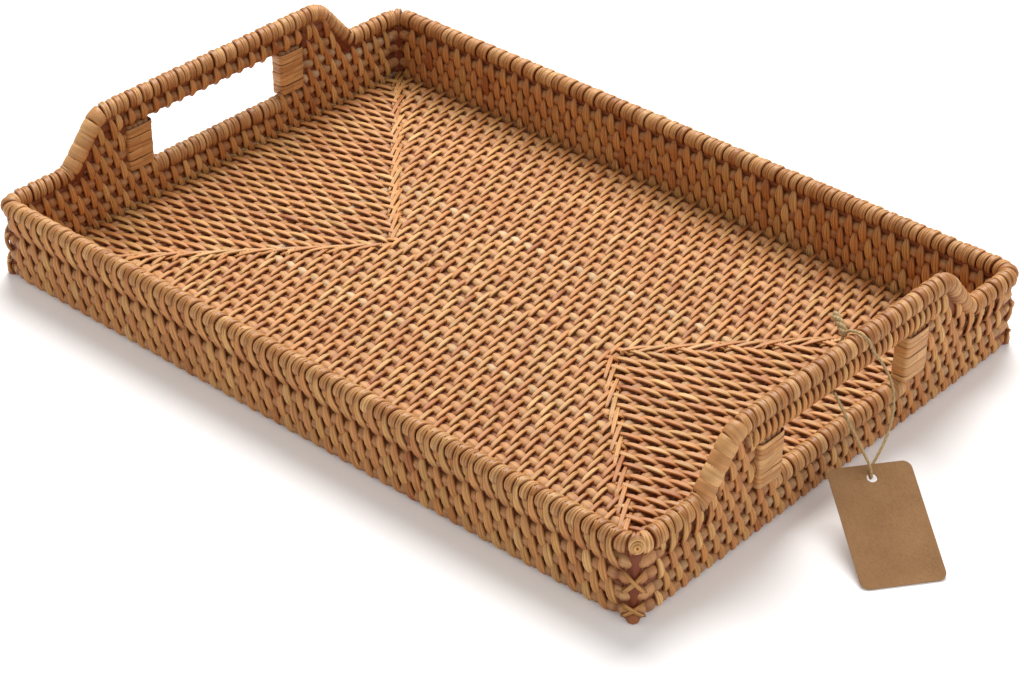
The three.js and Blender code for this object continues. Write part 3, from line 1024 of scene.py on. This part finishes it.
def makeEndWall(side):
    middle, along, out = sideFrame(side)
    rods = Weave(f"wall_rods_{side}")
    for row in (0, 1):
        addWallRod(rods, side, rowZ[row], -shortHalf, shortHalf, row)
    start = handle["panelStart"]
    gaps = [(rowZ[0] + rowZ[1]) / 2, (rowZ[1] + sillZ) / 2]
    addWallFill(rods, side, gaps, -shortHalf, shortHalf)
    for way in (-1, 1):
        low, high = sorted((way * start, way * shortHalf))
        addWallRod(rods, side, rowZ[3], low, high, 3)
        rowUp, panelUp = handle["fillUp"]
        addWallFill(rods, side, [(sillZ + rowZ[3]) / 2, rowZ[3] + rowUp], low, high)
        for row, z in enumerate(handle["panelRows"]):
            panelEnd = handle["panelEnds"][row]
            addWallRod(rods, side, z, *sorted((way * start, way * panelEnd)), 4 + row)
            short = way * (panelEnd - handle["fillShort"])
            addWallFill(rods, side, [z + panelUp], *sorted((way * start, short)))
        for drop in handle["slopeDrops"]:
            slope = np.array([
                [way * (handle["footHalf"] + 0.009 - drop), rimZ - 0.0035],
                [way * (handle["topHalf"] + 0.002), barZ - drop],
                [way * start, barZ - drop - 0.002],
            ])
            points = lineAlong(side, slope[:, 0], slope[:, 1])
            # rods in the slope's gaps, painted nearly in full shade
            rods.add(points, out, *handle["slopeFill"], "round", 0.9)
    names = [f"{side}_rod_1", f"{side}_rod_2"]
    names += [f"{side}_{part}_{end}" for part in ("rod_4", "panel") for end in ("front", "back")]
    rods.build(coreLook, "rattan_rod", names)
    strands = Weave(f"wall_strands_{side}")
    count = int(shortHalf / wall["pitch"]) - 1
    low = [rowZ[0], rowZ[1], sillZ, rowZ[3]]
    rise = (barZ - rimZ) / (handle["footHalf"] - handle["topHalf"])
    for i in range(-count, count + 1):
        s = abs(i * wall["pitch"])
        place = middle + along * i * wall["pitch"]
        if s < handle["postInner"]:
            levels = low[:2]
        elif s < handle["panelStart"]:
            levels = low[:3]
        elif s > handle["footHalf"] - 0.003:
            levels = low
        else:
            roof = min(rimZ + (handle["footHalf"] - s) * rise, barZ) - 0.005
            above = [*handle["panelRows"], underZ - 0.0005]
            levels = low + [z for z in above if z < roof]
        crossWall(strands, place, along, out, levels, i, 0.9, handle["strandSize"])
    strands.build(strandLook, "rattan_rod")


post = {"bands": 9, "square": 0.36, "inset": 0.0004, "uneven": 0.00015, "thick": 0.0004}


# A post is a flat core whipped round with cane.
def makePost(side, end):
    low, high = nodeBox(f"{side}_post_{end}")
    middle = (low + high) / 2
    half = (high - low) / 2
    turn = np.linspace(0, 2 * math.pi, 41)[:-1]
    shapeX = np.sign(np.cos(turn)) * np.abs(np.cos(turn)) ** post["square"]
    shapeY = np.sign(np.sin(turn)) * np.abs(np.sin(turn)) ** post["square"]
    facing = unit(np.column_stack([np.cos(turn) / half[0], np.sin(turn) / half[1], turn * 0]))
    weave = Weave(f"post_{side}_{end}")
    pitch = 2 * half[2] / post["bands"]
    for k in range(post["bands"]):
        z = low[2] + (k + 0.5) * pitch
        grow = chance.uniform(-post["uneven"], post["uneven"])
        points = np.column_stack([
            middle[0] + shapeX * (half[0] - post["inset"] + grow),
            middle[1] + shapeY * (half[1] - post["inset"] + grow),
            z + chance.normal(0, 0.0001) + 0.0003 * np.sin(turn + chance.uniform(0, 6)),
        ])
        tone = chance.uniform(0.35, 0.85)
        weave.add(points, facing, pitch * 0.56, post["thick"], "flat", 0, True, tone)
    weave.build(caneLook, "cane_band", [f"{side}_post_{end}"])
    core = Weave(f"post_core_{side}_{end}")
    for reach in np.linspace(-0.6, 0.6, 4):
        s = np.linspace(low[2] - 0.001, high[2] + 0.001, 6)
        points = np.column_stack([s * 0 + middle[0], s * 0 + middle[1] + reach * half[1], s])
        # half painted shade on the core seen between the bands
        core.add(points, (1, 0, 0), half[1] * 0.25, half[0] - 0.0011, "round", 0.5)
    core.build(coreLook, "cane_band")


for side in ("left", "right"):
    makeEndWall(side)
    makeSill(side)
    makeRail(side)
    makeUnderRod(side)
    for end in ("front", "back"):
        makePost(side, end)
print("ends and hand bars made")


# Twine pieces

def makeTwineMaterial():
    material, tree, shader = addMaterial("jute twine")
    uv = node(tree, "ShaderNodeUVMap", uv_map="grain")
    parts = node(tree, "ShaderNodeSeparateXYZ", {0: uv.outputs[0]})
    ply = math2(tree, "MULTIPLY", parts.outputs[0], 5000.0)
    turn = math2(tree, "MULTIPLY", parts.outputs[1], 4600.0)
    wave = math2(tree, "SINE", math2(tree, "ADD", ply, turn))
    noise = node(tree, "ShaderNodeTexNoise", {"Scale": 2500.0, "Detail": 5.0})
    height = math2(tree, "ADD", math2(tree, "MULTIPLY", wave, 0.1), noise.outputs[0])
    colour = ramp(tree, height, [
        (0.2, 166, 136, 94), (0.55, 200, 170, 122), (0.95, 238, 216, 170),
    ])
    bump = node(tree, "ShaderNodeBump", {"Strength": 0.6, "Distance": 0.0004, "Height": height})
    feed(tree, shader, {"Base Color": colour, "Normal": bump.outputs[0], "Roughness": 0.9})
    return material


twineLook = makeTwineMaterial()


# Plies laid round one line.
def layTwine(weave, route, radius):
    rail = Rail(route)
    reach = np.linspace(0, rail.length, max(20, int(rail.length / twine["ring"])))
    line = rail.at(reach)
    tangent = unit(np.gradient(line, axis=0))
    side = unit(np.cross(tangent, (0.31, 0.22, 0.92)))
    rise = np.cross(side, tangent)
    for ply in range(twine["plies"]):
        spin = reach * 2 * math.pi / (radius * twine["lay"]) + ply * 2 * math.pi / twine["plies"]
        off = side * np.cos(spin)[:, None] + rise * np.sin(spin)[:, None]
        weave.addRod(line + off * radius * twine["plyOut"], radius * twine["plyRadius"], 0, off)


def makeTwine(name, route, body, replaced):
    weave = Weave(name)
    layTwine(weave, route, twine["radius"])
    return weave.build(twineLook, "jute_twine", [replaced], body)


hangingRoute = smoothRoute(twine["hanging"], twine["steps"])
loopRoute = smoothRoute(twine["loop"], twine["steps"])
hanging = makeTwine("twine_run", hangingRoute, "swing_tag", "twine_hanging")
loop = makeTwine("twine_round_bar", loopRoute, "tray", "twine_loop")


# The knot over the hand bar, its tail and the frayed end.
knot = {
    "middle": (0.1883, 0.0086, 0.0650),
    "tail": [(0.1883, 0.0086, 0.0650), (0.1862, 0.0097, 0.0668), (0.1832, 0.0110, 0.0688),
             (0.1805, 0.0121, 0.0698)],
    "radius": 0.0018, "ring": 0.0011, "hairs": 48, "hairThin": 0.00013,
}


def makeKnot():
    middle = np.array(knot["middle"])
    angles = np.linspace(0, 2 * math.pi, 25)[:-1]
    weave = Weave("twine_knot")
    for k, tilt in enumerate((0.2, 1.3, 2.3)):
        axis = unit(np.array([math.cos(tilt), math.sin(tilt) * 0.6, 0.5 - 0.4 * k]))
        side = unit(np.cross(axis, (0.1, 0.2, 1)))
        rise = np.cross(axis, side)
        ring = side * np.cos(angles)[:, None] + rise * np.sin(angles)[:, None]
        weave.addRod(middle + ring * knot["ring"], twine["radius"], 0, ring, closed=True)
    tail = smoothRoute(knot["tail"], 8)
    layTwine(weave, tail, knot["radius"])
    way = unit(tail[-1] - tail[-4])
    for hair in range(knot["hairs"]):
        spread = chance.normal(0, 0.35, 3)
        reach = chance.uniform(0.0005, 0.0012)
        t = np.linspace(0, 1, 5)[:, None]
        start = tail[-1] - way * 0.0008 + chance.normal(0, 0.0006, 3)
        points = start + way * reach * t + spread * reach * t ** 2
        weave.addRod(points, knot["hairThin"] * (1 - 0.6 * t[:, 0]), 0, (0.2, 0.3, 0.9))
    weave.build(twineLook, "jute_twine")


makeKnot()
print("twine laid")


# Swing tag in kraft card

def makeCardMaterial():
    material, tree, shader = addMaterial("kraft card")
    place = node(tree, "ShaderNodeTexCoord")
    where = place.outputs["Object"]
    fine = node(tree, "ShaderNodeTexNoise", {"Vector": where, "Scale": 1900.0, "Detail": 4.0})
    broad = node(tree, "ShaderNodeTexNoise", {"Vector": where, "Scale": 60.0, "Detail": 3.0})
    stretch = node(tree, "ShaderNodeMapping", {"Vector": where, "Scale": (500, 3200, 500)})
    hairs = node(tree, "ShaderNodeTexNoise", {
        "Vector": stretch.outputs[0], "Scale": 1.0, "Detail": 3.0,
    })
    mixed = math2(tree, "ADD", math2(tree, "MULTIPLY", fine.outputs[0], 0.35),
                  math2(tree, "MULTIPLY", hairs.outputs[0], 0.35))
    mixed = math2(tree, "ADD", mixed, math2(tree, "MULTIPLY", broad.outputs[0], 0.3))
    colour = ramp(tree, mixed, [
        (0.3, 120, 86, 54), (0.5, 144, 106, 69), (0.72, 162, 124, 86),
    ])
    bump = node(tree, "ShaderNodeBump", {"Strength": 0.25, "Distance": 0.0002, "Height": mixed})
    feed(tree, shader, {
        "Base Color": colour, "Normal": bump.outputs[0], "Roughness": 0.82,
        "Specular IOR Level": 0.25,
    })
    return material


def finishTag():
    tag = bpy.data.objects["tag"]
    tag.data.materials.clear()
    tag.data.materials.append(makeCardMaterial())
    return tag


tag = finishTag()
print("tag finished")


# Floor and lights

groundHalf = 6
groundLook = {
    "Base Color": (0.9, 0.885, 0.875, 1),
    "Roughness": 0.9,
    "Specular IOR Level": 0.1,
    "Emission Color": (1, 0.975, 0.965, 1),
    "Emission Strength": 0.13,
}


def makeStage():
    half = groundHalf
    mesh = bpy.data.meshes.new("studio floor")
    corners = [(-half, -half, 0), (half, -half, 0), (half, half, 0), (-half, half, 0)]
    mesh.from_pydata(corners, [], [(0, 1, 2, 3)])
    plane = addObject("studio floor", mesh)
    material, tree, shader = addMaterial("studio floor")
    feed(tree, shader, groundLook)
    mesh.materials.append(material)


# Name, place, target, size and power of each light
studio = [
    ("key", (-0.55, 0.75, 1.5), (0, 0, 0), 1.3, 44),
    ("front", (-0.9, -1.3, 0.9), (-0.1, 0, 0), 1.6, 2.5),
    ("side", (1.5, -0.1, 0.6), (0, 0, 0), 1.4, 5.5),
]


sky = {"colour": (1, 0.985, 0.97, 1), "power": 0.45}


def makeLights():
    bpy.context.scene.view_settings.view_transform = "Standard"
    for name, place, target, size, power in studio:
        data = bpy.data.lights.new(name, "AREA")
        data.shape = "DISK"
        data.size = size
        data.energy = power
        lamp = addObject(name, data)
        lamp.location = place
        lamp.rotation_euler = (Vector(target) - Vector(place)).to_track_quat("-Z", "Y").to_euler()
    world = bpy.data.worlds.new("studio")
    world.use_nodes = True
    background = world.node_tree.nodes["Background"]
    background.inputs[0].default_value = sky["colour"]
    background.inputs[1].default_value = sky["power"]
    bpy.context.scene.world = world


makeStage()
makeLights()
